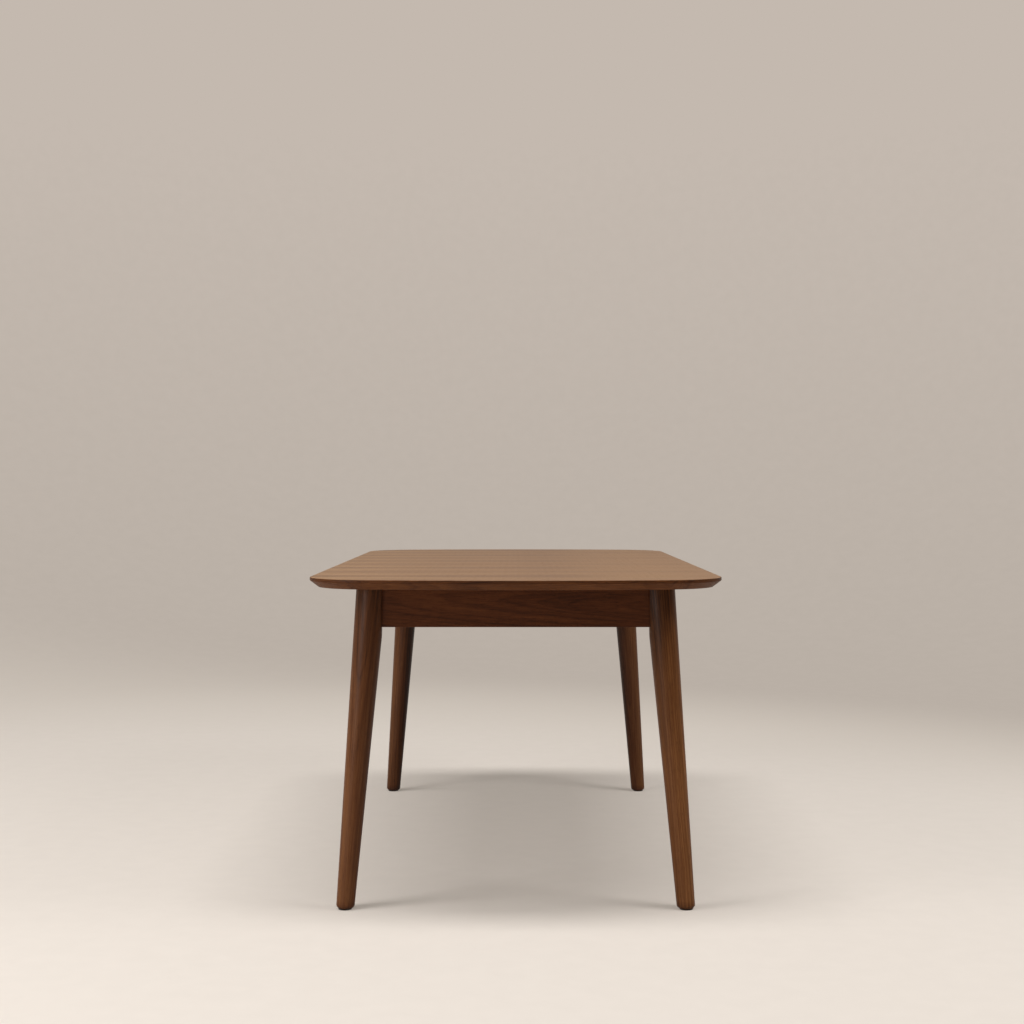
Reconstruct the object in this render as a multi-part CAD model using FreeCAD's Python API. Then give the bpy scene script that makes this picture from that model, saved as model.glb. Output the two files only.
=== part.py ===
"""Walnut dining table on four splayed round legs.

Veneered top with a bevelled solid lipping, an apron frame under it, turned legs that bolt into
steel corner brackets, and a screw-in levelling foot under each leg.

Units are millimetres. X runs across the table, Y along it and Z up. The origin is on the floor under
the middle of the top. Front is -Y, back is +Y, left is -X and right is +X.
"""

import FreeCAD
import Part

import math
import os

# Overall sizes.
table_length = 1830.0
table_width = 920.0
table_height = 750.0

# Tabletop: a flat core, a solid lipping round it, and a veneer on each face.
top_thickness = 22.0
end_bow = 48.0
corner_radius = 150.0
nose_height = 7.5
nose_top_radius = 2.0
nose_bottom_radius = 3.0
bevel_inset = 19.5
bevel_foot_radius = 1.5
lipping_width = 45.0
veneer_thickness = 0.6

# Legs: straight round tapers that lean outwards by the same angle along and across the table.
leg_top_diameter = 70.0
leg_foot_diameter = 41.0
leg_splay_angle = 4.35
foot_side_inset = 76.0
foot_end_inset = 194.0
foot_edge_radius = 9.0
apron_flat_depth = 27.1
bolt_flat_depth = 24.0

# Aprons and the rail that ties the two long ones together.
apron_height = 97.0
apron_thickness = 22.0
apron_face_offset = 13.7
apron_edge_radius = 1.5
rail_height = 60.0
rail_thickness = 22.0
rail_housing_depth = 8.0

# Steel corner brackets, each drawn tight on a leg by two hanger bolts.
bracket_height = 60.0
bracket_sheet = 2.5
bracket_bend_radius = 2.5
bracket_wing_length = 46.0
bracket_hook_depth = 8.0
bracket_top_gap = 12.0
bracket_draw_gap = 8.0
bolt_diameter = 8.0
bolt_grip_depth = 38.0
bolt_tip_length = 6.0
bolt_end_length = 4.0
bolt_end_chamfer = 1.0
washer_diameter = 22.0
washer_thickness = 2.0
nut_width = 13.0
nut_height = 6.5
nut_chamfer = 0.6

# Steel angles that hold the top down on the aprons.
angle_width = 20.0
angle_reach = 28.0
angle_sheet = 2.5
angle_bend_radius = 2.0

# Pan-head wood screws, the same for the brackets and the angles.
screw_length = 16.0
screw_diameter = 4.0
screw_tip_length = 4.0
screw_head_diameter = 8.0
screw_head_height = 2.8
screw_head_radius = 1.8
screw_slot_width = 1.2
screw_slot_length = 4.6
screw_slot_depth = 1.4

# Levelling feet: a nylon pad, its hub sunk in the leg's foot, on a steel stud in a threaded insert.
pad_diameter = 30.0
pad_flange_height = 1.2
pad_edge_radius = 0.5
pad_hub_diameter = 20.0
pad_recess_depth = 2.5
pad_side_gap = 0.5
pad_seat_gap = 0.3
pad_socket_depth = 1.5
stud_diameter = 8.0
stud_end_chamfer = 1.0
stud_travel = 10.0
stud_reserve = 2.0
insert_diameter = 11.0
insert_length = 14.0

# Fits and the overrun of every cut.
hole_clearance = 0.1
thread_clearance = 0.05
joint_clearance = 0.2
cut_overrun = 10.0

# Places along a piece, as shares of its length.
end_angle_shares = (-0.45, 0.45)
side_angle_shares = (-0.66, -0.24, 0.24, 0.66)
bracket_row_shares = (0.25, 0.75)
wing_screw_share = 0.55
angle_screw_share = 0.62
arc_shares = (0, 1 / 2, 1)

V = FreeCAD.Vector
UP = V(0, 0, 1)
SIDES = (("left", -1), ("right", 1))
ENDS = (("front", -1), ("back", 1))

# Levels and places that follow from the sizes above.
half_length = table_length / 2
half_width = table_width / 2
underside = table_height - top_thickness
apron_bottom = underside - apron_height
apron_middle = underside - apron_height / 2
foot_level = pad_flange_height + pad_seat_gap
seat_level = foot_level + pad_recess_depth
pad_height = seat_level - pad_seat_gap
stud_top = seat_level + insert_length + stud_travel + stud_reserve
splay = math.tan(math.radians(leg_splay_angle))


def leg_axis(height):
    """The point on the back right leg's centre line at a height."""
    lean = splay * height
    return V(half_width - foot_side_inset - lean, half_length - foot_end_inset - lean, height)


def leg_radius(height):
    """The leg's radius at a height, on a straight taper from the floor to the top."""
    foot_radius = leg_foot_diameter / 2
    return foot_radius + (leg_top_diameter / 2 - foot_radius) * height / underside


corner = leg_axis(apron_middle)
apron_outer = V(corner.x + apron_face_offset, corner.y + apron_face_offset, 0)
apron_inner = V(apron_outer.x - apron_thickness, apron_outer.y - apron_thickness, 0)
apron_end = V(corner.x - apron_flat_depth, corner.y - apron_flat_depth, 0)
inward = V(-1, -1, 0).normalize()
bracket_top = underside - bracket_top_gap
bracket_bottom = bracket_top - bracket_height
bracket_rows = [bracket_bottom + bracket_height * share for share in bracket_row_shares]
web_start = bolt_flat_depth + bracket_draw_gap

# The ends of the top are arcs, and each corner is an arc that meets its end and its side smoothly.
bow_radius = (half_width ** 2 + end_bow ** 2) / (2 * end_bow)
bow_centre = V(0, half_length - bow_radius, 0)
corner_x = half_width - corner_radius
corner_y = bow_centre.y + math.sqrt((bow_radius - corner_radius) ** 2 - corner_x ** 2)
corner_centre = V(corner_x, corner_y, 0)
corner_angle = math.degrees(math.atan2(corner_y - bow_centre.y, corner_x))


def box(low, high):
    """A box between two opposite corners."""
    size = high - low
    return Part.makeBox(size.x, size.y, size.z, low)


def rod(radius, start, end):
    """A plain round bar between two points."""
    return Part.makeCylinder(radius, (end - start).Length, start, end - start)


def turned(points, place, direction):
    """A solid turned from (radius, height) points about its axis, then stood on a place."""
    outline = [V(radius, 0, height) for radius, height in points]
    face = Part.Face(Part.makePolygon(outline + outline[:1]))
    solid = face.revolve(V(0, 0, 0), UP, 360)
    solid.Placement = FreeCAD.Placement(place, FreeCAD.Rotation(UP, direction))
    return solid


def mirrored(shape, side, end):
    """The back right corner's shape, carried to the corner on this side and end."""
    if side < 0:
        shape = shape.mirror(V(0, 0, 0), V(1, 0, 0))
    if end < 0:
        shape = shape.mirror(V(0, 0, 0), V(0, 1, 0))
    return shape


def at_corners(shape):
    """The back right corner's shape at all four corners, as one group of solids."""
    return Part.makeCompound([mirrored(shape, side, end) for _, end in ENDS for _, side in SIDES])


def save(name, shape):
    """Writes one piece, or one group of like pieces, under its node's name."""
    solids = shape.Solids
    shape = solids[0] if len(solids) == 1 else Part.makeCompound(solids)
    shape.exportStep(os.path.join("parts", name + ".step"))


def rounded_face(corners):
    """A flat face from (point, radius) corners, each rounded by its radius."""
    edges = []
    ends = []
    count = len(corners)
    for index, (here, radius) in enumerate(corners):
        before = corners[index - 1][0] - here
        after = corners[(index + 1) % count][0] - here
        half_angle = before.getAngle(after) / 2
        reach = radius / math.tan(half_angle)
        middle = (before.normalize() + after.normalize()).normalize()
        ends.append((here + before * reach, here + after * reach))
        if radius:
            crown = here + middle * (radius / math.sin(half_angle) - radius)
            edges.append(Part.Arc(ends[-1][0], crown, ends[-1][1]).toShape())
    for index, (_, leaving) in enumerate(ends):
        edges.append(Part.makeLine(leaving, ends[(index + 1) % count][0]))
    return Part.Face(Part.Wire(Part.__sortEdges__(edges)))


def top_outline(inset):
    """The top's outline at this distance in from its edge, as a face on the floor."""
    edges = []
    for end in (1, -1):
        tips = []
        for side in (1, -1):
            hub = V(side * corner_centre.x, end * corner_centre.y, 0)
            radius = corner_radius - inset
            turns = [math.radians(corner_angle * share) for share in arc_shares]
            arc = [hub + V(side * math.cos(turn), end * math.sin(turn), 0) * radius for turn in turns]
            edges.append(Part.Arc(*arc).toShape())
            tips.append(arc[-1])
        crown = V(0, end * (half_length - inset), 0)
        edges.append(Part.Arc(tips[0], crown, tips[1]).toShape())
    for side in (1, -1):
        rim = side * (half_width - inset)
        edges.append(Part.makeLine(V(rim, -corner_centre.y, 0), V(rim, corner_centre.y, 0)))
    return Part.Face(Part.Wire(Part.__sortEdges__(edges)))


def edge_profile():
    """The section of the top's edge: x is outwards from the rim and z is up from the underside."""
    return rounded_face([
        (V(-lipping_width, 0, 0), 0),
        (V(-bevel_inset, 0, 0), bevel_foot_radius),
        (V(0, 0, top_thickness - nose_height), nose_bottom_radius),
        (V(0, 0, top_thickness), nose_top_radius),
        (V(-lipping_width, 0, top_thickness), 0),
    ])


def rim_pieces(profile):
    """A section of the rim carried round the top: {name: solid} for sides, ends and corners."""
    pieces = {}
    section = profile.copy()
    section.translate(V(half_width, 0, underside))
    side = section.copy()
    side.translate(V(0, -corner_centre.y, 0))
    side = side.extrude(V(0, 2 * corner_centre.y, 0))
    bend = section.copy()
    bend.translate(V(0, corner_centre.y, 0))
    bend = bend.revolve(corner_centre, UP, corner_angle)
    end = profile.copy()
    end.translate(V(bow_radius, 0, underside) + bow_centre)
    end.rotate(bow_centre, UP, corner_angle)
    end = end.revolve(bow_centre, UP, 180 - 2 * corner_angle)
    for side_name, across in SIDES:
        pieces["side_lipping_" + side_name] = mirrored(side, across, 1)
    for end_name, along in ENDS:
        pieces["end_lipping_" + end_name] = mirrored(end, 1, along)
        for side_name, across in SIDES:
            pieces[f"corner_lipping_{end_name}_{side_name}"] = mirrored(bend, across, along)
    return pieces


def profile_band(profile, low, high):
    """The part of the edge section that lies between two heights above the underside."""
    window = box(V(-lipping_width - cut_overrun, -cut_overrun, low), V(cut_overrun, cut_overrun, high))
    return profile.common(window).Faces[0]


def slab(inset, low, high):
    """A sheet with the top's outline, taken in by an inset, between two heights."""
    face = top_outline(inset)
    face.translate(V(0, 0, low))
    return face.extrude(V(0, 0, high - low))


def angle_places():
    """Where each angle stands: (point on an apron's inner face, direction into the frame)."""
    places = []
    for _, end in ENDS:
        for share in end_angle_shares:
            places.append((V(share * apron_end.x, end * apron_inner.y, underside), V(0, -end, 0)))
    for _, side in SIDES:
        for share in side_angle_shares:
            places.append((V(side * apron_inner.x, share * apron_end.y, underside), V(-side, 0, 0)))
    return places


def angle_screw_places():
    """Each angle's two screws: (point under the head, the way the screw points)."""
    places = []
    for point, into in angle_places():
        reach = angle_reach * angle_screw_share
        places.append((point + into * reach - UP * angle_sheet, UP))
        places.append((point - UP * reach + into * angle_sheet, into * -1))
    return places


def bracket_point(along, off, height):
    """A point on the back right bracket: along an apron's inner face and off it, from their corner."""
    return V(apron_inner.x - along, apron_inner.y - off, height)


def web_foot():
    """How far along each apron's inner face, from their corner, the bracket's web starts."""
    corner_offset = apron_thickness - apron_face_offset
    return web_start * math.sqrt(2) - 2 * corner_offset


def bracket_screw_places():
    """The back right bracket's screws: (point under the head, the way the screw points)."""
    along = web_foot() + bracket_wing_length * wing_screw_share
    places = []
    for height in bracket_rows:
        places.append((bracket_point(along, bracket_sheet, height), V(0, 1, 0)))
        places.append((bracket_point(bracket_sheet, along, height), V(1, 0, 0)))
    return places


def pilot(place, direction):
    """The hole that a screw fills, from under its head to past its tip."""
    depth = screw_length + hole_clearance
    return rod(screw_diameter / 2 + hole_clearance, place, place + direction * depth)


def sheet_hole(place, direction, sheet):
    """The clearance hole for a screw through a steel sheet, from well above its head."""
    start = place - direction * cut_overrun
    return rod(screw_diameter / 2 + joint_clearance, start, place + direction * sheet)


def screw(place, direction):
    """A pan-head wood screw with a cross recess, its head seated on a place."""
    radius = screw_diameter / 2
    head = screw_head_diameter / 2
    solid = turned([
        (0, screw_length),
        (radius, screw_length - screw_tip_length),
        (radius, 0),
        (head, 0),
        (head, -(screw_head_height - screw_head_radius)),
        (head - screw_head_radius, -screw_head_height),
        (0, -screw_head_height),
    ], V(0, 0, 0), UP)
    long = screw_slot_length / 2
    short = screw_slot_width / 2
    above = UP * -(screw_head_height + cut_overrun)
    floor = UP * -(screw_head_height - screw_slot_depth)
    for reach in (V(long, short, 0), V(short, long, 0)):
        solid = solid.cut(box(above - reach, floor + reach))
    solid.Placement = FreeCAD.Placement(place, FreeCAD.Rotation(UP, direction))
    return solid


def tabletop():
    """The core, both veneers and the lipping, with pilot holes for the angles' screws."""
    profile = edge_profile()
    veneer_level = top_thickness - veneer_thickness
    lippings = rim_pieces(profile_band(profile, 0, veneer_level))
    for name, solid in lippings.items():
        save(name, solid)
    rim = rim_pieces(profile_band(profile, veneer_level, top_thickness)).values()
    face_veneer = slab(lipping_width, underside + veneer_level, table_height).multiFuse(list(rim))
    save("top_veneer", face_veneer.removeSplitter())
    holes = [pilot(place, direction) for place, direction in angle_screw_places()]
    core = slab(lipping_width, underside + veneer_thickness, underside + veneer_level)
    save("top_core", core.cut(holes))
    save("underside_veneer", slab(lipping_width, underside, underside + veneer_thickness).cut(holes))


def apron_board(low, high, run):
    """A board with its lower edges eased along its run."""
    board = box(low, high)
    lower = [
        edge for edge in board.Edges
        if edge.BoundBox.ZMax < apron_middle and abs(edge.tangentAt(edge.FirstParameter).dot(run)) > 1 / 2
    ]
    return board.makeFillet(apron_edge_radius, lower)


def hook_kerf():
    """The saw cut in the back right end apron that takes the bracket's hook."""
    outer = web_foot() + bracket_wing_length
    low = bracket_point(outer + joint_clearance, cut_overrun, bracket_bottom - joint_clearance)
    high = bracket_point(
        outer - bracket_sheet - joint_clearance,
        -bracket_hook_depth - joint_clearance,
        bracket_top + joint_clearance,
    )
    return box(low, high)


def swapped(shape):
    """A shape at the back right corner, turned over the corner's diagonal onto the other apron."""
    return shape.mirror(V(apron_inner.x, apron_inner.y, 0), V(1, -1, 0))


def rail_housing():
    """The slot in the right apron's inner face that takes the rail's end."""
    half = rail_thickness / 2 + joint_clearance
    return box(
        V(apron_inner.x - cut_overrun, -half, underside - rail_height - joint_clearance),
        V(apron_inner.x + rail_housing_depth + joint_clearance, half, underside + cut_overrun),
    )


def aprons():
    """Two end aprons and two side aprons, butted on the legs' flats."""
    corner_holes = [pilot(place, direction) for place, direction in bracket_screw_places()]
    angle_holes = [pilot(place, direction) for place, direction in angle_screw_places()]
    kerf = hook_kerf()
    end_cuts = [mirrored(cut, side, 1) for cut in corner_holes + [kerf] for _, side in SIDES]
    side_cuts = [mirrored(cut, 1, end) for cut in corner_holes + [swapped(kerf)] for _, end in ENDS]
    for name, end in ENDS:
        low = V(-apron_end.x, apron_inner.y, apron_bottom)
        board = apron_board(low, V(apron_end.x, apron_outer.y, underside), V(1, 0, 0))
        board = mirrored(board.cut(end_cuts), 1, end)
        save("end_apron_" + name, board.cut(angle_holes))
    for name, side in SIDES:
        low = V(apron_inner.x, -apron_end.y, apron_bottom)
        board = apron_board(low, V(apron_outer.x, apron_end.y, underside), V(0, 1, 0))
        board = mirrored(board.cut(side_cuts + [rail_housing()]), side, 1)
        save("side_apron_" + name, board.cut(angle_holes))


def cross_rail():
    """The rail under the middle of the top, housed in both side aprons."""
    reach = apron_inner.x + rail_housing_depth
    low = V(-reach, -rail_thickness / 2, underside - rail_height)
    save("cross_rail", box(low, V(reach, rail_thickness / 2, underside)))


def bolt_line(height):
    """Where a hanger bolt starts in the leg and ends past its nut."""
    axis = V(corner.x, corner.y, height)
    end = web_start + bracket_sheet + washer_thickness + nut_height + bolt_end_length
    return axis + inward * (bolt_flat_depth - bolt_grip_depth), axis + inward * end


def leg():
    """The back right leg: a leaning cone, cut level, with flats for two aprons and the bracket."""
    low = leg_axis(-cut_overrun)
    high = leg_axis(underside + cut_overrun)
    cone = Part.makeCone(leg_radius(low.z), leg_radius(high.z), (high - low).Length, low, high - low)
    reach = leg_top_diameter
    room = V(reach, reach, 0)
    level = box(corner - room - UP * (corner.z - foot_level), leg_axis(0) + room + UP * underside)
    solid = cone.common(level)
    foot_edges = [edge for edge in solid.Edges if edge.BoundBox.ZMax < foot_level + cut_overrun]
    solid = solid.makeFillet(foot_edge_radius, foot_edges)
    tall = table_height + cut_overrun
    across = box(V(0, 0, -cut_overrun), V(apron_end.x, table_length, tall))
    along = box(V(0, 0, -cut_overrun), V(table_width, apron_end.y, tall))
    wedge = box(V(0, -reach, -cut_overrun), V(reach, reach, tall))
    wedge.rotate(V(0, 0, 0), UP, math.degrees(math.atan2(inward.y, inward.x)))
    wedge.translate(V(corner.x, corner.y, 0) + inward * bolt_flat_depth)
    bores = [rod(bolt_diameter / 2 + hole_clearance, *bolt_line(height)) for height in bracket_rows]
    foot = leg_axis(0)
    insert_top = foot + UP * (seat_level + insert_length + thread_clearance)
    bores.append(rod(pad_hub_diameter / 2 + pad_side_gap, foot, foot + UP * seat_level))
    bores.append(rod(insert_diameter / 2 + thread_clearance, foot, insert_top))
    bores.append(rod(stud_diameter / 2 + joint_clearance, foot, foot + UP * (stud_top + joint_clearance)))
    return solid.cut([across, along, wedge] + bores)


def corner_bracket():
    """The back right bracket: bent sheet with two hooked wings and a web across the leg's flat."""
    foot = web_foot()
    outer = foot + bracket_wing_length
    bend = foot + bracket_sheet * math.tan(math.radians(45) / 2)
    half = [
        (foot, 0, bracket_bend_radius + bracket_sheet),
        (outer - bracket_sheet, 0, 0),
        (outer - bracket_sheet, -bracket_hook_depth, 0),
        (outer, -bracket_hook_depth, 0),
        (outer, bracket_sheet, bracket_sheet),
        (bend, bracket_sheet, bracket_bend_radius),
    ]
    outline = half + [(off, along, radius) for along, off, radius in reversed(half)]
    corners = [(bracket_point(along, off, bracket_bottom), radius) for along, off, radius in outline]
    solid = rounded_face(corners).extrude(UP * bracket_height)
    holes = [rod(bolt_diameter / 2 + joint_clearance, *bolt_line(height)) for height in bracket_rows]
    holes += [sheet_hole(*place, bracket_sheet) for place in bracket_screw_places()]
    return solid.cut(holes)


def hanger_bolt(height):
    """A hanger bolt: a wood-screw point in the leg and a machine end through the bracket."""
    start, end = bolt_line(height)
    radius = bolt_diameter / 2
    length = (end - start).Length
    return turned([
        (0, 0),
        (radius, bolt_tip_length),
        (radius, length - bolt_end_chamfer),
        (radius - bolt_end_chamfer, length),
        (0, length),
    ], start, inward)


def washer(height):
    """A flat washer on the bracket's web."""
    start = V(corner.x, corner.y, height) + inward * (web_start + bracket_sheet)
    end = start + inward * washer_thickness
    return rod(washer_diameter / 2, start, end).cut(rod(bolt_diameter / 2 + joint_clearance, start, end))


def nut(height):
    """A hexagon nut on the washer, its corners chamfered at both faces."""
    flat = nut_width / 2
    radius = flat / math.cos(math.radians(30))
    turns = [math.radians(60 * index) for index in range(6)]
    points = [V(radius * math.cos(turn), radius * math.sin(turn), 0) for turn in turns]
    solid = Part.Face(Part.makePolygon(points + points[:1])).extrude(UP * nut_height)
    rounding = turned([
        (0, 0),
        (flat, 0),
        (radius, nut_chamfer),
        (radius, nut_height - nut_chamfer),
        (flat, nut_height),
        (0, nut_height),
    ], V(0, 0, 0), UP)
    solid = solid.common(rounding)
    solid = solid.cut(rod(bolt_diameter / 2 + thread_clearance, V(0, 0, 0), UP * nut_height))
    start = V(corner.x, corner.y, height) + inward * (web_start + bracket_sheet + washer_thickness)
    solid.Placement = FreeCAD.Placement(start, FreeCAD.Rotation(UP, inward))
    return solid


def angle_bracket(point, into):
    """A bent steel angle between an apron's inner face and the top's underside."""
    face = rounded_face([
        (V(0, 0, 0), angle_bend_radius + angle_sheet),
        (V(angle_reach, 0, 0), 0),
        (V(angle_reach, 0, -angle_sheet), 0),
        (V(angle_sheet, 0, -angle_sheet), angle_bend_radius),
        (V(angle_sheet, 0, -angle_reach), 0),
        (V(0, 0, -angle_reach), 0),
    ])
    face.translate(V(0, -angle_width / 2, 0))
    solid = face.extrude(V(0, angle_width, 0))
    solid.Placement = FreeCAD.Placement(point, FreeCAD.Rotation(V(1, 0, 0), into))
    return solid


def top_angles():
    """All the angles, each with its two screw holes."""
    holes = [sheet_hole(*place, angle_sheet) for place in angle_screw_places()]
    return Part.makeCompound([angle_bracket(*place).cut(holes) for place in angle_places()])


def levelling_pad():
    """The nylon pad that stands on the floor: a thin flange, and a hub with a socket for the stud."""
    foot = leg_axis(0)
    flange = rod(pad_diameter / 2, foot, foot + UP * pad_flange_height)
    rims = [edge for edge in flange.Edges if len(edge.Vertexes) == 1]
    flange = flange.makeFillet(pad_edge_radius, rims)
    hub = rod(pad_hub_diameter / 2, foot, foot + UP * pad_height)
    socket_floor = foot + UP * (pad_height - pad_socket_depth)
    above = foot + UP * (pad_height + cut_overrun)
    socket = rod(stud_diameter / 2 + thread_clearance, socket_floor, above)
    return flange.fuse(hub).removeSplitter().cut(socket)


def levelling_stud():
    """The threaded stud, seated in the pad and run up into the leg."""
    radius = stud_diameter / 2
    return turned([
        (0, pad_height - pad_socket_depth),
        (radius, pad_height - pad_socket_depth),
        (radius, stud_top - stud_end_chamfer),
        (radius - stud_end_chamfer, stud_top),
        (0, stud_top),
    ], leg_axis(0), UP)


def threaded_insert():
    """The brass sleeve in the leg's foot that the stud screws through."""
    foot = leg_axis(0) + UP * seat_level
    sleeve = rod(insert_diameter / 2, foot, foot + UP * insert_length)
    return sleeve.cut(rod(stud_diameter / 2 + thread_clearance, foot, foot + UP * insert_length))


def corner_pieces():
    """What repeats at each corner: the leg, its levelling foot and its bracket."""
    pieces = {
        "leg": leg(),
        "foot_insert": threaded_insert(),
        "levelling_stud": levelling_stud(),
        "levelling_pad": levelling_pad(),
        "corner_bracket": corner_bracket(),
    }
    for name, shape in pieces.items():
        for end_name, end in ENDS:
            for side_name, side in SIDES:
                save(f"{name}_{end_name}_{side_name}", mirrored(shape, side, end))


def fasteners():
    """Bolts, washers, nuts, angles and screws, each kind as one group."""
    for name, make in (("hanger_bolts", hanger_bolt), ("hanger_washers", washer), ("hanger_nuts", nut)):
        save(name, at_corners(Part.makeCompound([make(height) for height in bracket_rows])))
    corner_screws = [screw(place, direction) for place, direction in bracket_screw_places()]
    save("corner_bracket_screws", at_corners(Part.makeCompound(corner_screws)))
    save("top_angles", top_angles())
    save("top_angle_screws", Part.makeCompound([screw(*place) for place in angle_screw_places()]))


def main():
    os.makedirs("parts", exist_ok=True)
    tabletop()
    aprons()
    cross_rail()
    corner_pieces()
    fasteners()


main()
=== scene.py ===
import math

import bpy
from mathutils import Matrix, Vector


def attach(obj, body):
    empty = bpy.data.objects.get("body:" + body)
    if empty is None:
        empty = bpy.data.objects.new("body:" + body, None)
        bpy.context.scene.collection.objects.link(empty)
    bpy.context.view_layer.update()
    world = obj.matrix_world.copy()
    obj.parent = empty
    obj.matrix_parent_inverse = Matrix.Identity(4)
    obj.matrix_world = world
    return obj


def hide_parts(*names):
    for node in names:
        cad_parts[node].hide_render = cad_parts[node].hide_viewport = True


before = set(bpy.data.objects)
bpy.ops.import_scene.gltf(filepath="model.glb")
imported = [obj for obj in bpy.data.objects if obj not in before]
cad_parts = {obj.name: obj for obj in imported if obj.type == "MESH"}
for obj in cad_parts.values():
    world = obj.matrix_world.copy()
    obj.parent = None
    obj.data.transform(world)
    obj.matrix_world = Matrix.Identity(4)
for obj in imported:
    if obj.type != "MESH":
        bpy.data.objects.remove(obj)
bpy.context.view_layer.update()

# Top core: one sheet of medium-density fibreboard, pressed from wood fibre and resin and sanded flat.
# The lippings are glued round it and the veneers are pressed over it, so it carries the whole top.
mm = 0.001
fibre_clump = 4 * mm
fibre_length = 1.5 * mm
nap_depth = 0.1 * mm


def linear(colour):
    """An sRGB hex colour as the linear RGBA that a socket takes."""
    shares = [int(colour[place:place + 2], 16) / 255 for place in (1, 3, 5)]
    return [s / 12.92 if s <= 0.04045 else ((s + 0.055) / 1.055) ** 2.4 for s in shares] + [1]


def plug(tree, node, inputs):
    """Sets a node's inputs: a value is set, a socket or another node's first output is linked."""
    for socket, value in inputs.items():
        if isinstance(value, bpy.types.Node):
            value = value.outputs[0]
        if isinstance(value, bpy.types.NodeSocket):
            tree.links.new(value, node.inputs[socket])
        else:
            node.inputs[socket].default_value = value


def add_node(tree, kind, inputs={}, stops=(), **settings):
    """Adds a node with its settings, its inputs and, for a colour ramp, its stops in rising order."""
    node = tree.nodes.new("ShaderNode" + kind)
    for setting, value in settings.items():
        setattr(node, setting, value)
    for count, (place, colour) in enumerate(stops):
        elements = node.color_ramp.elements
        element = elements[count] if count < 2 else elements.new(place)
        element.position, element.color = place, colour
    plug(tree, node, inputs)
    return node


def new_finish(name, inputs):
    """A new material with its node tree and its shader, whose even inputs are given."""
    material = bpy.data.materials.new(name)
    material.use_nodes = True
    tree = material.node_tree
    shader = tree.nodes["Principled BSDF"]
    plug(tree, shader, inputs)
    return material, tree, shader


def dress(material, *names):
    """Gives CAD nodes a material in place of the plain one that they come with."""
    for name in names:
        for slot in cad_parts[name].material_slots:
            slot.material = material


# Sanded fibreboard has no grain: pale and darker fibres lie felted in every direction, quite matt.
fibreboard, tree, shader = new_finish("sanded_fibreboard", {"IOR": 1.5})
place = add_node(tree, "TexCoord").outputs["Object"]
clumps = add_node(tree, "TexNoise", {"Vector": place, "Scale": 1 / fibre_clump, "Detail": 3.0})
fibres = add_node(tree, "TexNoise", {"Vector": place, "Scale": 1 / fibre_length, "Detail": 4.0,
                                     "Distortion": 1.5})
felt = add_node(tree, "Math", {0: clumps, 1: fibres}, operation="MULTIPLY")
felt_colour = add_node(tree, "ValToRGB", {"Fac": felt},
                       stops=[(0.12, linear("#7E6140")), (0.28, linear("#A98759")),
                              (0.42, linear("#C4A578"))])
felt_sheen = add_node(tree, "MapRange", {"Value": fibres, "To Min": 0.75, "To Max": 0.95})
felt_nap = add_node(tree, "Bump", {"Height": fibres, "Strength": 0.3, "Distance": nap_depth})
plug(tree, shader, {"Base Color": felt_colour, "Roughness": felt_sheen, "Normal": felt_nap})
dress(fibreboard, "top_core")

# Lippings: strips of solid black walnut glued round the core, two sides, two bowed ends, four corners.
# Their grain runs along each strip; the nose and the wide under-bevel are shaped after gluing.
sides = {"left": -1, "right": 1}
ends = {"front": -1, "back": 1}
lipping_tones = ("#341808", "#613617", "#83512B")
nose_foot = 742.5 * mm
nose_blend = 1 * mm
# Painted shade: how much darker the upright nose is drawn than the bevel, which faces the lit floor.
nose_shade_tone = -0.20
year_width = 6 * mm
year_wander = 9 * mm
wander_width, wander_length = 70 * mm, 520 * mm
# Wide and narrow years come in spells, and each year has a tone of its own: steps of noise to a year.
spell_rate, spell_swing = 0.21, 5.0
year_tone_rate = 0.43
# Share of dark late wood through a year, from one winter to the next.
late_shares = (0.0, 0.2), (0.12, 0), (0.6, 0.25), (0.9, 1), (1.0, 0.2)
# Real walnut fibre and pores are about 0.2 mm wide: at half a pixel to the millimetre they are drawn
# several times as wide, so that the streaks and dashes still show.
fibre_width, fibre_run = 2.6 * mm, 200 * mm
pore_width, pore_run = 1.0 * mm, 16 * mm
pore_begins, pore_full = 0.58, 0.70
pore_shade, pore_dulling, pore_depth = 0.62, 0.2, 0.12 * mm
patch_width, patch_run = 90 * mm, 420 * mm
patch_dulling = 0.12
# Each part of the figure moves the tone by its weight. The three colours lie at these tones.
tone_start = -0.30
fibre_weight, patch_weight, year_weight, late_weight = 0.75, 0.55, 0.45, -0.15
tone_places = 0.12, 0.5, 0.92


def board_lay(pith, along):
    """Grain coordinates of a sawn board: its tree's pith goes through a point, along a direction."""
    turn = Vector(along).to_track_quat("Z", "Y").to_euler()

    def lay(tree):
        place = add_node(tree, "TexCoord").outputs["Object"]
        return add_node(tree, "Mapping", {"Vector": place, "Location": pith, "Rotation": turn},
                        vector_type="TEXTURE").outputs[0]
    return lay


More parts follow.
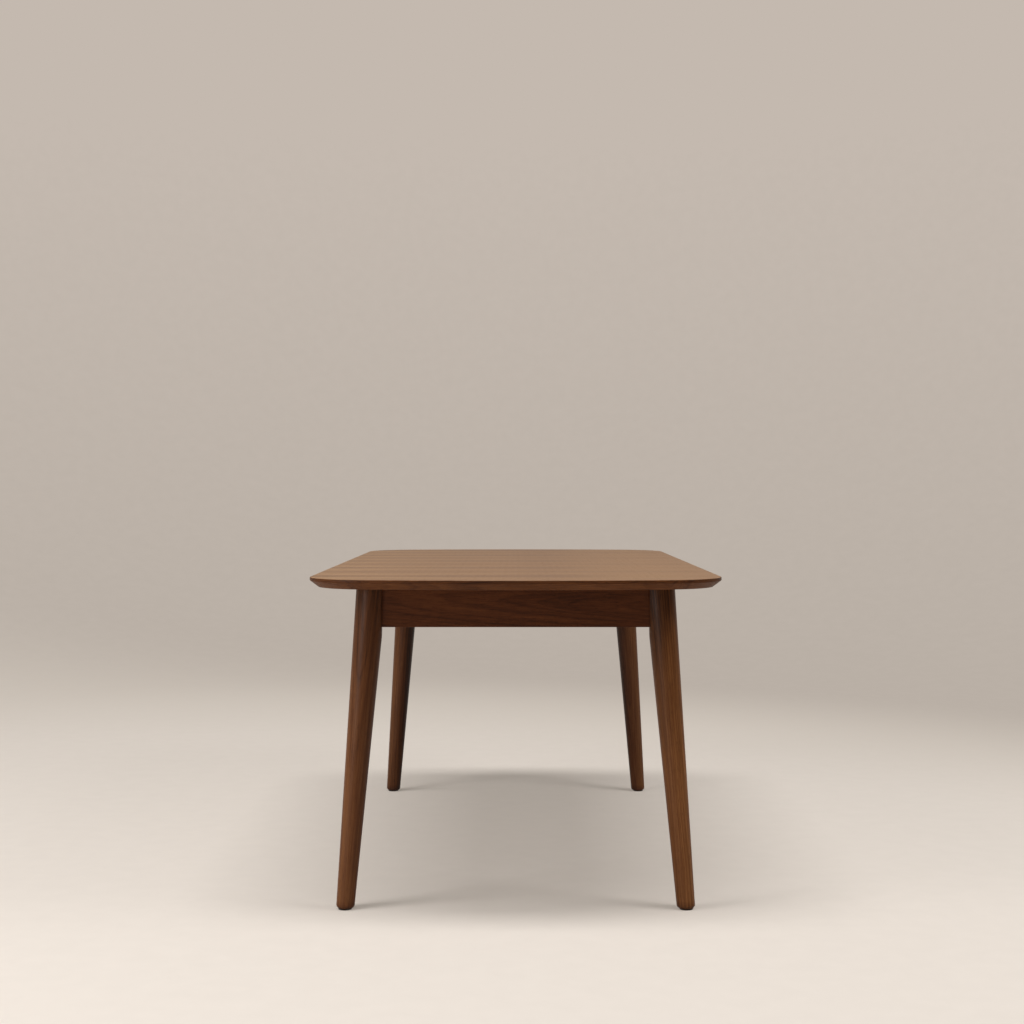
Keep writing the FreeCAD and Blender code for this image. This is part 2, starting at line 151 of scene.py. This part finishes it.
# Black walnut, sanded and sprayed with a thin satin lacquer: brown heartwood with darker years, long
# streaks and open pores, under a film that mirrors little.
def walnut(name, lay, tones, sheen=0.40, polish=0.17, drift=None):
    """Lacquered walnut in grain coordinates, with the grain along z and the growth rings round it."""
    material, tree, shader = new_finish(name, {"IOR": 1.5, "Specular IOR Level": polish})
    grain = lay(tree)

    def stretched(width, run):
        return add_node(tree, "VectorMath", {0: grain, 1: (1 / width, 1 / width, 1 / run)},
                        operation="MULTIPLY")

    # The trunk was never quite straight, so the rings wander across the board.
    bend = add_node(tree, "TexNoise", {"Vector": stretched(wander_width, wander_length), "Scale": 1.0,
                                       "Detail": 2.0})
    bend = add_node(tree, "VectorMath", {0: bend.outputs[1], 1: (0.5, 0.5, 0.5)}, operation="SUBTRACT")
    bent = add_node(tree, "VectorMath", {0: bend, 1: (2 * year_wander, 2 * year_wander, 0), 2: grain},
                    operation="MULTIPLY_ADD")
    level = add_node(tree, "VectorMath", {0: bent, 1: (1, 1, 0)}, operation="MULTIPLY")
    radius = add_node(tree, "VectorMath", {0: level}, operation="LENGTH").outputs["Value"]
    years = add_node(tree, "Math", {0: radius, 1: year_width}, operation="DIVIDE")
    spells = add_node(tree, "TexNoise", {"W": years, "Scale": spell_rate, "Detail": 1.0},
                      noise_dimensions="1D")
    years = add_node(tree, "Math", {0: spells, 1: spell_swing, 2: years}, operation="MULTIPLY_ADD")
    season = add_node(tree, "Math", {0: years}, operation="FRACT")
    late_wood = add_node(tree, "ValToRGB", {"Fac": season},
                         stops=[(place, (share, share, share, 1)) for place, share in late_shares])
    year_tone = add_node(tree, "TexNoise", {"W": years, "Scale": year_tone_rate, "Detail": 2.0},
                         noise_dimensions="1D")
    # Fibre streaks run with the grain, and broad patches drift from warm to dark over a hand's width.
    fibres = add_node(tree, "TexNoise", {"Vector": stretched(fibre_width, fibre_run), "Scale": 1.0,
                                         "Detail": 4.0, "Roughness": 0.6})
    patches = add_node(tree, "TexNoise", {"Vector": stretched(patch_width, patch_run), "Scale": 1.0,
                                          "Detail": 2.0})
    tone = tone_start
    for figure, weight in ((fibres, fibre_weight), (patches, patch_weight), (year_tone, year_weight),
                           (late_wood, late_weight)):
        tone = add_node(tree, "Math", {0: figure, 1: weight, 2: tone}, operation="MULTIPLY_ADD")
    if drift:
        tone = add_node(tree, "Math", {0: tone, 1: drift(tree)}, operation="ADD")
    heartwood = add_node(tree, "ValToRGB", {"Fac": tone},
                         stops=[(place, linear(colour)) for place, colour in zip(tone_places, tones)])
    # The thin lacquer sinks into the open pores and leaves them as short dark dashes.
    pores = add_node(tree, "TexNoise", {"Vector": stretched(pore_width, pore_run), "Scale": 1.0,
                                        "Detail": 2.0})
    pores = add_node(tree, "MapRange", {"Value": pores, "From Min": pore_begins, "From Max": pore_full})
    shade = add_node(tree, "MapRange", {"Value": pores, "To Min": 1.0, "To Max": pore_shade})
    colour = add_node(tree, "VectorMath", {0: heartwood, "Scale": shade}, operation="SCALE")
    gloss = add_node(tree, "MapRange", {"Value": pores, "To Min": sheen, "To Max": sheen + pore_dulling})
    gloss = add_node(tree, "Math", {0: patches, 1: patch_dulling, 2: gloss}, operation="MULTIPLY_ADD")
    relief = add_node(tree, "Math", {0: pores, 1: -1.0, 2: fibres}, operation="MULTIPLY_ADD")
    touch = add_node(tree, "Bump", {"Height": relief, "Strength": 0.25, "Distance": pore_depth})
    plug(tree, shader, {"Base Color": colour, "Roughness": gloss, "Normal": touch})
    return material


def nose_painted_shade(tree):
    """Painted shade: the upright nose is drawn darker than the bevel under it, for how light falls on each.
    """
    height = add_node(tree, "SeparateXYZ", {0: add_node(tree, "TexCoord").outputs["Object"]}).outputs["Z"]
    return add_node(tree, "MapRange", {"Value": height, "From Min": nose_foot - nose_blend,
                                       "From Max": nose_foot + nose_blend, "To Max": nose_shade_tone})


for side, x in sides.items():
    dress(walnut("lacquered_walnut_side_lipping_" + side,
                 board_lay(pith=(x * 350 * mm, x * 400 * mm, 800 * mm), along=(0.01 * x, 1, 0.02)),
                 lipping_tones, drift=nose_painted_shade), "side_lipping_" + side)
for end, y in ends.items():
    dress(walnut("lacquered_walnut_end_lipping_" + end,
                 board_lay(pith=(y * 600 * mm, y * 830 * mm, 810 * mm), along=(1, 0.01 * y, 0.025)),
                 lipping_tones, drift=nose_painted_shade), "end_lipping_" + end)
    for side, x in sides.items():
        dress(walnut("lacquered_walnut_corner_lipping_" + end + "_" + side,
                     board_lay(pith=(x * 380 * mm, y * 780 * mm, 805 * mm), along=(1, -x * y, 0.03)),
                     lipping_tones, drift=nose_painted_shade), "corner_lipping_" + end + "_" + side)

# Face veneer: leaves of sliced walnut 0.6 mm thick, laid across the table and book-matched, so that each
# leaf mirrors the next. Pressed over the core and the lippings, sanded and given a satin lacquer.
veneer_tones = ("#583822", "#8A6341", "#AD865F")
leaf_width = 194 * mm
leaf_joint = 43 * mm
leaf_off_pith, leaf_over_pith = 160 * mm, 40 * mm
leaf_skew = 0.02
# Tone across a leaf, from the joint with the dark heart streak to the next joint.
streak_levels = (0.0, 0), (0.10, 0.12), (0.22, 0.62), (0.40, 0.72), (0.70, 0.52), (1.0, 0.46)
even_level = 0.5
streak_left, streak_right = -250 * mm, 250 * mm
depth_left, depth_right = 0.46, 0.16


def leaf_place(tree):
    """How far across its leaf a point of the veneer lies; neighbouring leaves count opposite ways."""
    place = add_node(tree, "SeparateXYZ", {0: add_node(tree, "TexCoord").outputs["Object"]}).outputs
    from_joint = add_node(tree, "Math", {0: place["Y"], 1: leaf_joint}, operation="SUBTRACT")
    return add_node(tree, "Math", {0: from_joint, 1: leaf_width}, operation="PINGPONG"), place["X"]


def leaf_lay(tree):
    """Grain coordinates of the leaves: each was sliced beside the pith, a little askew to it."""
    across, along = leaf_place(tree)
    cut = add_node(tree, "Math", {0: along, 1: leaf_skew, 2: across}, operation="MULTIPLY_ADD")
    cut = add_node(tree, "Math", {0: cut, 1: leaf_off_pith}, operation="ADD")
    return add_node(tree, "CombineXYZ", {"X": cut, "Y": leaf_over_pith, "Z": along}).outputs[0]


def leaf_drift(tree):
    """A dark heart streak along every other joint, with paler wood beside it, fading to the right."""
    across, along = leaf_place(tree)
    share = add_node(tree, "Math", {0: across, 1: leaf_width}, operation="DIVIDE")
    streak = add_node(tree, "ValToRGB", {"Fac": share},
                      stops=[(place, (level, level, level, 1)) for place, level in streak_levels])
    streak = add_node(tree, "Math", {0: streak, 1: even_level}, operation="SUBTRACT")
    depth = add_node(tree, "MapRange", {"Value": along, "From Min": streak_left, "From Max": streak_right,
                                        "To Min": depth_left, "To Max": depth_right})
    return add_node(tree, "Math", {0: streak, 1: depth}, operation="MULTIPLY")


dress(walnut("lacquered_walnut_face_veneer", leaf_lay, veneer_tones, polish=0.5, drift=leaf_drift),
      "top_veneer")

# Backing veneer: a plainer walnut leaf under the core, there to keep the top from cupping.
# It is laid lengthwise, sanded and sealed with one thin coat, so it is duller than the face.
backing_tones = ("#3B2110", "#6A4124", "#8E623F")
dress(walnut("sealed_walnut_backing_veneer",
             board_lay(pith=(260 * mm, 0, 640 * mm), along=(0.015, 1, 0.01)),
             backing_tones, sheen=0.55), "underside_veneer")

# Aprons: four boards of flat-sawn walnut set back under the top, with saw kerfs that the brackets hook in.
# The pith lies behind each face and runs out of true with it, which draws the pointed arches.
apron_tones = ("#2B1408", "#562C13", "#754220")
end_apron_face, side_apron_face = 683 * mm, 346 * mm
apron_pith_depth = 40 * mm
end_runout, side_runout = 0.06, 0.036
for end, y in ends.items():
    dress(walnut("lacquered_walnut_end_apron_" + end,
                 board_lay(pith=(y * 30 * mm, y * (end_apron_face - apron_pith_depth), 690 * mm),
                           along=(1, -end_runout, 0.03 * y)), apron_tones), "end_apron_" + end)
for side, x in sides.items():
    dress(walnut("lacquered_walnut_side_apron_" + side,
                 board_lay(pith=(x * (side_apron_face - apron_pith_depth), x * 120 * mm, 672 * mm),
                           along=(side_runout, 1, -0.012 * x)), apron_tones), "side_apron_" + side)

# Cross rail: one planed bar of beech housed in both side aprons, to hold them apart and carry the top.
# It is never seen from a chair, so it is left bare.
fleck_width, fleck_run = 1.2 * mm, 6 * mm
fleck_begins, fleck_full, fleck_shade = 0.58, 0.66, 0.72
plane_depth = 0.1 * mm
beech_year = 4 * mm
# A wave texture of scale 1 repeats after this length.
wave_length = 0.314
# Beech is even and pinkish, with close rings and a rain of short darker ray flecks. The real flecks are
# about half as large, and are drawn coarser so that they show.
beech, tree, shader = new_finish("planed_beech", {"IOR": 1.5})
grain = board_lay(pith=(20 * mm, 60 * mm, 620 * mm), along=(1, 0.02, 0.01))(tree)
rings = add_node(tree, "TexWave", {"Vector": grain, "Scale": wave_length / beech_year, "Distortion": 2.0,
                                   "Detail": 2.0, "Detail Scale": 0.4},
                 wave_type="RINGS", rings_direction="Z")
fleck_stretch = add_node(tree, "VectorMath",
                         {0: grain, 1: (1 / fleck_width, 1 / fleck_width, 1 / fleck_run)},
                         operation="MULTIPLY")
flecks = add_node(tree, "TexNoise", {"Vector": fleck_stretch, "Scale": 1.0, "Detail": 1.0})
flecks = add_node(tree, "MapRange", {"Value": flecks, "From Min": fleck_begins, "From Max": fleck_full,
                                     "To Min": 1.0, "To Max": fleck_shade})
beech_colour = add_node(tree, "ValToRGB", {"Fac": rings},
                        stops=[(0.0, linear("#C79A6E")), (1.0, linear("#D9B48A"))])
beech_colour = add_node(tree, "VectorMath", {0: beech_colour, "Scale": flecks}, operation="SCALE")
planing = add_node(tree, "Bump", {"Height": flecks, "Strength": 0.2, "Distance": plane_depth})
beech_sheen = add_node(tree, "MapRange", {"Value": flecks, "To Min": 0.75, "To Max": 0.6})
plug(tree, shader, {"Base Color": beech_colour, "Roughness": beech_sheen, "Normal": planing})
dress(beech, "cross_rail")

# Corner brackets: four pressings of 2.5 mm sheet steel that hook into the aprons and draw the leg in,
# each held by four pan-head screws. Bright zinc plated after bending.
corners = {end + "_" + side: (x, y) for end, y in ends.items() for side, x in sides.items()}
plate_cloud = 14 * mm
rolling_line, rolling_run = 1.2 * mm, 83.3 * mm
rolling_depth = 0.05 * mm
# Zinc plate on rolled steel: a cool grey metal, clouded where the passivation dried, with faint lines.
# Real rolling lines lie about 0.1 mm apart, and are drawn coarser so that they show.
zinc_steel, tree, shader = new_finish("zinc_plated_steel", {"Metallic": 1.0})
place = add_node(tree, "TexCoord").outputs["Object"]
clouds = add_node(tree, "TexNoise", {"Vector": place, "Scale": 1 / plate_cloud, "Detail": 3.0})
rolled = add_node(tree, "VectorMath", {0: place, 1: (1 / rolling_line, 1 / rolling_line, 1 / rolling_run)},
                  operation="MULTIPLY")
lines = add_node(tree, "TexNoise", {"Vector": rolled, "Scale": 1.0, "Detail": 2.0})
zinc_colour = add_node(tree, "ValToRGB", {"Fac": clouds},
                       stops=[(0.3, linear("#A9AEB2")), (0.55, linear("#C3C6C8")),
                              (0.75, linear("#CFC9B8"))])
zinc_sheen = add_node(tree, "MapRange", {"Value": clouds, "To Min": 0.26, "To Max": 0.46})
zinc_sheen = add_node(tree, "Math", {0: lines, 1: 0.1, 2: zinc_sheen}, operation="MULTIPLY_ADD")
zinc_lines = add_node(tree, "Bump", {"Height": lines, "Strength": 0.15, "Distance": rolling_depth})
plug(tree, shader, {"Base Color": zinc_colour, "Roughness": zinc_sheen, "Normal": zinc_lines})
dress(zinc_steel, "corner_bracket_screws", *("corner_bracket_" + corner for corner in corners))

# Legs: four round walnut legs turned with a taper and a small rounded foot, splayed both ways.
# Flats cut at the head let the aprons butt against them and the bracket bolts draw them tight.
leg_lean = 0.07607
leg_foot_x, leg_foot_y = 384 * mm, 721 * mm
foot_radius = 20.5 * mm
leg_pith_drop = 900 * mm
leg_piths = {"front_left": (-30 * mm, 58 * mm), "front_right": (52 * mm, 34 * mm),
             "back_left": (-60 * mm, -20 * mm), "back_right": (36 * mm, -50 * mm)}
# The back pair's darker tones are painted shade under the table; the front right's paler ones painted
# light.
leg_tones_and_shade = {"front_left": ("#351B0B", "#673C1E", "#8A5B36"),
             "front_right": ("#381C0B", "#744622", "#9D693D"),
             "back_left": ("#2C1508", "#583118", "#80522F"),
             "back_right": ("#2C1508", "#5A3218", "#80522E")}
# Painted light and shade: legs paler outside and at the foot, darker inside, most on the back pair.
outer_painted_light = {"front": 0.05, "back": 0.12}
inner_painted_shade = {"front": -0.05, "back": -0.26}
foot_painted_light = {"front": 0.05, "back": 0.15}
# Painted shade: the head of every leg is drawn darker under the top.
head_shade_full, head_shade_ends, head_shade_tone = 700 * mm, 520 * mm, -0.21
foot_light_begins, foot_light_full = 450 * mm, 50 * mm
# Painted shade at the foot's rounded bottom edge, where it meets the floor.
edge_shade_begins, edge_shade_full, edge_shade_tone = 22 * mm, 2 * mm, -0.28


def leg_painted_light_and_shade(end):
    """Painted light and shade: paler outside and at the foot, darker inside and under the top."""
    def drift(tree):
        place = add_node(tree, "SeparateXYZ", {0: add_node(tree, "TexCoord").outputs["Object"]}).outputs
        outward = add_node(tree, "Math", {0: place["X"]}, operation="ABSOLUTE")
        outward = add_node(tree, "Math", {0: place["Z"], 1: leg_lean, 2: outward}, operation="MULTIPLY_ADD")
        tone = add_node(tree, "MapRange", {"Value": outward, "From Min": leg_foot_x - foot_radius,
                                           "From Max": leg_foot_x + foot_radius,
                                           "To Min": inner_painted_shade[end], "To Max": outer_painted_light[end]})
        head = add_node(tree, "MapRange", {"Value": place["Z"], "From Min": head_shade_full,
                                           "From Max": head_shade_ends, "To Min": head_shade_tone, "To Max": 0.0})
        foot = add_node(tree, "MapRange", {"Value": place["Z"], "From Min": foot_light_begins,
                                           "From Max": foot_light_full, "To Max": foot_painted_light[end]})
        # Painted shade: the foot's rounded bottom edge is drawn darker, as the floor shades it.
        foot_edge_shade = add_node(tree, "MapRange", {"Value": place["Z"], "From Min": edge_shade_begins,
                                            "From Max": edge_shade_full, "To Max": edge_shade_tone})
        for change in (head, foot, foot_edge_shade):
            tone = add_node(tree, "Math", {0: tone, 1: change}, operation="ADD")
        return tone
    return drift


for corner, (x, y) in corners.items():
    pith_x, pith_y = leg_piths[corner]
    dress(walnut("lacquered_walnut_leg_" + corner,
                 board_lay(pith=(x * leg_foot_x + pith_x, y * leg_foot_y + pith_y, -x * y * leg_pith_drop),
                           along=(-x * leg_lean, -y * leg_lean, 1)),
                 leg_tones_and_shade[corner], sheen=0.33, polish=0.22, drift=leg_painted_light_and_shade(corner.split("_")[0])),
          "leg_" + corner)

# Hanger bolts, washers and nuts: two M8 bolts to a leg, wood thread in the leg, machine thread outside.
# Cold-formed and rolled steel with the same bright zinc plate as the brackets.
dress(zinc_steel, "hanger_washers", "hanger_nuts")
rod_radius = 4 * mm
rod_chamfer = 1 * mm
rod_sides = 16
rings_to_a_pitch = 6
machine_pitch, machine_depth = 1.25 * mm, 0.7 * mm
wood_pitch, wood_depth = 3 * mm, 1.1 * mm
thread_flat = 0.1
bolt_point = 6 * mm
point_blunt = 0.05
wood_thread_end, shank_end, bolt_end = 34 * mm, 38 * mm, 61 * mm
bolt_start_x, bolt_start_y = 342.2 * mm, 679.2 * mm
bolt_heights = 671 * mm, 701 * mm


def threaded_rod(start, along, stretches, point=0):
    """Points and faces of a rod with a helical ridge: each stretch has its end, its pitch and its depth."""
    across = along.orthogonal().normalized()
    square = along.cross(across)
    rings = []
    begin = 0
    for end, pitch, depth in stretches:
        steps = math.ceil((end - begin) / pitch * rings_to_a_pitch)
        rings += [(begin + (end - begin) * step / steps, pitch, depth) for step in range(steps)]
        begin = end
    rings.append(stretches[-1])
    points = []
    for distance, pitch, depth in rings:
        limit = min(rod_radius, rod_radius - rod_chamfer + begin - distance)
        if distance < point:
            limit = rod_radius * max(distance / point, point_blunt)
        for side in range(rod_sides):
            angle = 2 * math.pi * side / rod_sides
            turn = (distance / pitch - side / rod_sides) % 1
            flank = (1 - abs(2 * turn - 1) - thread_flat) / (1 - 2 * thread_flat)
            ridge = min(1, max(0, flank))
            radius = min(limit, rod_radius - depth * (1 - ridge))
            spoke = across * math.cos(angle) + square * math.sin(angle)
            points.append(start + along * distance + spoke * radius)
    faces = [tuple(reversed(range(rod_sides))), tuple(range(len(points) - rod_sides, len(points)))]
    for low in range(0, len(points) - rod_sides, rod_sides):
        for side in range(rod_sides):
            here, after = low + side, low + (side + 1) % rod_sides
            faces.append((here, after, after + rod_sides, here + rod_sides))
    return points, faces


def steel_rods(name, rods, node, body):
    """One piece made of threaded rods, in the place of a plain CAD node."""
    points, faces = [], []
    for rod_points, rod_faces in rods:
        faces += [[len(points) + corner for corner in face] for face in rod_faces]
        points += rod_points
    mesh = bpy.data.meshes.new(name)
    mesh.from_pydata(points, [], faces)
    for face in mesh.polygons:
        face.use_smooth = len(face.vertices) == 4
    mesh.materials.append(zinc_steel)
    piece = bpy.data.objects.new(name, mesh)
    bpy.context.collection.objects.link(piece)
    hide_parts(node)
    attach(piece, body)


bolt_stretches = [(wood_thread_end, wood_pitch, wood_depth), (shank_end, wood_pitch, 0),
                  (bolt_end, machine_pitch, machine_depth)]
steel_rods("threaded_hanger_bolts",
           [threaded_rod(Vector((x * bolt_start_x, y * bolt_start_y, height)),
                         Vector((-x, -y, 0)).normalized(), bolt_stretches, bolt_point)
            for x, y in corners.values() for height in bolt_heights], "hanger_bolts", "table")

# Top angles: twelve small bent steel angles with two screws each, which hold the top down to the aprons.
# Sheared from the same plated sheet.
dress(zinc_steel, "top_angles", "top_angle_screws")

# Levelling feet: a brass insert in each leg takes a steel stud, which carries a moulded nylon pad.
# Turning the pad winds the foot in or out to suit an uneven floor.
turning_line, turning_depth = 0.6 * mm, 0.03 * mm
film_patch = 5 * mm
# Turned brass shows fine rings from the lathe tool and dulls to a brown film. The real rings are about
# 0.1 mm apart, and are drawn coarser so that they show.
brass, tree, shader = new_finish("turned_brass", {"Metallic": 1.0})
place = add_node(tree, "TexCoord").outputs["Object"]
cuts = add_node(tree, "TexWave", {"Vector": place, "Scale": wave_length / turning_line, "Distortion": 0.3},
                wave_type="BANDS", bands_direction="Z")
film = add_node(tree, "TexNoise", {"Vector": place, "Scale": 1 / film_patch, "Detail": 3.0})
brass_colour = add_node(tree, "ValToRGB", {"Fac": film},
                        stops=[(0.3, linear("#8E6A33")), (0.65, linear("#C69A52"))])
brass_sheen = add_node(tree, "MapRange", {"Value": film, "To Min": 0.42, "To Max": 0.24})
brass_cuts = add_node(tree, "Bump", {"Height": cuts, "Strength": 0.2, "Distance": turning_depth})
plug(tree, shader, {"Base Color": brass_colour, "Roughness": brass_sheen, "Normal": brass_cuts})
pebble, pebble_depth = 0.7 * mm, 0.06 * mm
rub_patch = 6 * mm
# Black nylon from a spark-eroded mould: a fine even pebble, greyer where the floor has rubbed it. The
# real pebble is about 0.1 mm wide, and is drawn coarser so that it shows.
nylon, tree, shader = new_finish("moulded_black_nylon", {"IOR": 1.53})
place = add_node(tree, "TexCoord").outputs["Object"]
pebbles = add_node(tree, "TexVoronoi", {"Vector": place, "Scale": 1 / pebble})
rub = add_node(tree, "TexNoise", {"Vector": place, "Scale": 1 / rub_patch, "Detail": 3.0})
nylon_colour = add_node(tree, "ValToRGB", {"Fac": rub},
                        stops=[(0.35, linear("#141312")), (0.75, linear("#2B2927"))])
nylon_sheen = add_node(tree, "MapRange", {"Value": rub, "To Min": 0.42, "To Max": 0.62})
nylon_skin = add_node(tree, "Bump", {"Height": pebbles, "Strength": 0.25, "Distance": pebble_depth})
plug(tree, shader, {"Base Color": nylon_colour, "Roughness": nylon_sheen, "Normal": nylon_skin})
stud_foot, stud_top = 2.2 * mm, 30 * mm
for corner, (x, y) in corners.items():
    dress(brass, "foot_insert_" + corner)
    dress(nylon, "levelling_pad_" + corner)
    steel_rods("threaded_levelling_stud_" + corner,
               [threaded_rod(Vector((x * leg_foot_x, y * leg_foot_y, stud_foot)), Vector((0, 0, 1)),
                             [(stud_top - stud_foot, machine_pitch, machine_depth)])],
               "levelling_stud_" + corner, "levelling_foot_" + corner)

# Studio: a pale matt floor that sweeps up all round into a wall, painted in one warm grey.
# It is round, so that the table has a backdrop behind it from every side.
floor_radius = 3.6
sweep_radius = 3.2
wall_height = 5.0
sweep_steps = 24
round_steps = 96
profile = [(floor_radius * share, 0) for share in (0.25, 0.5, 0.75, 1)]
for step in range(1, sweep_steps + 1):
    angle = math.pi / 2 * step / sweep_steps
    profile.append((floor_radius + sweep_radius * math.sin(angle), sweep_radius * (1 - math.cos(angle))))
profile.append((floor_radius + sweep_radius, wall_height))
points = [(0, 0, 0)]
faces = []
for ring, (radius, height) in enumerate(profile):
    for step in range(round_steps):
        angle = 2 * math.pi * step / round_steps
        points.append((radius * math.cos(angle), radius * math.sin(angle), height))
        here, after = 1 + step, 1 + (step + 1) % round_steps
        if ring == 0:
            faces.append((0, here, after))
        else:
            below, above = (ring - 1) * round_steps, ring * round_steps
            faces.append((below + here, above + here, above + after, below + after))
mesh = bpy.data.meshes.new("studio_sweep")
mesh.from_pydata(points, [], faces)
mesh.shade_smooth()
studio = bpy.data.objects.new("studio_sweep", mesh)
bpy.context.collection.objects.link(studio)
# The floor is drawn palest round a lit middle in front of the table and takes on the wall's tone with
# distance from it, sooner at the right than at the left: a painted falloff of light.
mottle = 60 * mm
mottle_share = 0.35
lit_middle = 1.6
wall_begins, wall_reached = 1.3, 4.0
wall_skew = 0.38
studio_back, studio_front = 4.0, -4.0
wall_paled = 4.0
floor_evenness = 0.23
floor_throw = 0.72
flagged_strength = 0.2
# Rolled emulsion paint: quite matt, with the faint mottle of the roller. The camera and the gloss see the
# wall in its own even tone, and it throws little light back, so the table is lit from above and below.
paint, tree, shader = new_finish("rolled_emulsion_paint", {"Roughness": 0.9})
place = add_node(tree, "TexCoord").outputs["Object"]
where = add_node(tree, "SeparateXYZ", {0: place}).outputs
roller = add_node(tree, "TexNoise", {"Vector": place, "Scale": 1 / mottle, "Detail": 4.0})
floor_colour = add_node(tree, "ValToRGB", {"Fac": roller},
                        stops=[(0.3, linear("#D9D0C7")), (0.7, linear("#DCD3CA"))])
from_middle = add_node(tree, "VectorMath", {0: place, 1: (1, 1, 0), 2: (0, lit_middle, 0)},
                       operation="MULTIPLY_ADD")
distance = add_node(tree, "VectorMath", {0: from_middle}, operation="LENGTH").outputs["Value"]
wall_reach = add_node(tree, "Math", {0: where["X"], 1: wall_skew, 2: distance}, operation="MULTIPLY_ADD")
wall_share = add_node(tree, "MapRange", {"Value": wall_reach, "From Min": lit_middle + wall_begins,
                                         "From Max": lit_middle + wall_reached},
                      interpolation_type="SMOOTHSTEP")
front_share = add_node(tree, "MapRange", {"Value": where["Y"], "From Min": studio_back,
                                          "From Max": studio_front})
wall_paint = add_node(tree, "Mix", {0: front_share, 6: linear("#8A847D"), 7: linear("#2E2B28")},
                      data_type="RGBA").outputs[2]
paint_colour = add_node(tree, "Mix", {0: wall_share, 6: floor_colour, 7: wall_paint},
                        data_type="RGBA").outputs[2]
ray = add_node(tree, "LightPath").outputs
thrown_share = add_node(tree, "MapRange", {"Value": ray["Is Camera Ray"], "To Min": floor_throw,
                                           "To Max": 1.0})
paint_colour = add_node(tree, "VectorMath", {0: paint_colour, "Scale": thrown_share}, operation="SCALE")
plug(tree, shader, {"Base Color": paint_colour})
# The even tone pales a little up the wall. A black flag in front of the table keeps most of it out of
# the gloss of the nose, the apron and the legs.
wall_tone = add_node(tree, "MapRange", {"Value": where["Z"], "From Max": wall_paled})
wall_tone = add_node(tree, "Math", {0: roller, 1: mottle_share, 2: wall_tone}, operation="MULTIPLY_ADD")
wall_colour = add_node(tree, "ValToRGB", {"Fac": wall_tone},
                       stops=[(0.15, linear("#B9AFA5")), (1.0, linear("#C4B9AF"))])
even_colour = add_node(tree, "Mix", {0: wall_share, 6: linear("#FFF3E5"), 7: wall_colour},
                       data_type="RGBA").outputs[2]
not_camera = add_node(tree, "Math", {0: 1.0, 1: ray["Is Camera Ray"]}, operation="SUBTRACT")
flagged = add_node(tree, "Math", {0: not_camera, 1: front_share}, operation="MULTIPLY")
even_strength = add_node(tree, "MapRange", {"Value": flagged, "To Min": 1.0, "To Max": flagged_strength})
even_tone = add_node(tree, "Emission", {"Color": even_colour, "Strength": even_strength})
even_share = add_node(tree, "MapRange", {"Value": wall_share, "To Min": floor_evenness})
seen = add_node(tree, "Math", {0: ray["Is Camera Ray"], 1: ray["Is Glossy Ray"]}, operation="MAXIMUM")
seen = add_node(tree, "Math", {0: seen, 1: ray["Is Transmission Ray"]}, operation="MAXIMUM")
seen = add_node(tree, "Math", {0: seen, 1: even_share}, operation="MULTIPLY")
both = add_node(tree, "MixShader", {0: seen, 1: shader, 2: even_tone})
plug(tree, tree.nodes["Material Output"], {"Surface": both})
mesh.materials.append(paint)

# Lamps: a long soft box high overhead, a little towards the front, gives the table its shadow. Weaker
# ones at the front, at both sides and low at the left model the legs and the edge of the top.


def soft_box(name, place, aim, width, height, power):
    """A lamp behind a rectangle of white cloth, turned to a point; the camera doesn't see it."""
    lamp = bpy.data.lights.new(name, "AREA")
    lamp.shape, lamp.size, lamp.size_y, lamp.energy = "RECTANGLE", width, height, power
    holder = bpy.data.objects.new(name, lamp)
    holder.location = place
    holder.rotation_euler = (Vector(aim) - Vector(place)).to_track_quat("-Z", "Y").to_euler()
    holder.visible_camera = False
    bpy.context.collection.objects.link(holder)


soft_box("overhead_soft_box", place=(-0.7, -2.6, 16), aim=(-0.7, -2.6, 0),
         width=14.5, height=3.8, power=1920)
soft_box("front_soft_box", place=(0, -3.4, 4.6), aim=(0, -1.0, 0), width=4.2, height=2.0, power=20)
soft_box("left_soft_box", place=(-3.2, -2.0, 2.6), aim=(0, -0.5, 0.3), width=1.4, height=1.6, power=52)
soft_box("low_left_soft_box", place=(-2.4, -3.0, 1.0), aim=(-0.2, -0.7, 2.0),
         width=1.2, height=0.8, power=14)
soft_box("right_soft_box", place=(3.3, -1.5, 3.2), aim=(0, -0.5, 0.3), width=1.5, height=1.4, power=46)
sky = bpy.data.worlds.new("even_sky")
sky.use_nodes = True
plug(sky.node_tree, sky.node_tree.nodes["Background"], {"Color": linear("#F2EEE9"), "Strength": 0.05})
bpy.context.scene.world = sky
bpy.context.scene.view_settings.view_transform = "Standard"

# Camera: level, looking straight along the table from its front end, a little above the top.
# Its focal length in pixels and the place of the horizon were worked out from the photo's edges.
photo_width = 1024
focal_pixels = 1625
horizon_pixel, middle_pixel = 490.1, 515.65
camera_distance, camera_height = 4.381, 0.943
camera = bpy.data.cameras.new("photo_camera")
camera.sensor_width = 36
camera.lens = camera.sensor_width * focal_pixels / photo_width
camera.shift_x = (photo_width / 2 - middle_pixel) / photo_width
camera.shift_y = (horizon_pixel - photo_width / 2) / photo_width
viewer = bpy.data.objects.new("photo_camera", camera)
viewer.location = (0, -camera_distance, camera_height)
viewer.rotation_euler = (math.pi / 2, 0, 0)
bpy.context.collection.objects.link(viewer)
bpy.context.scene.camera = viewer
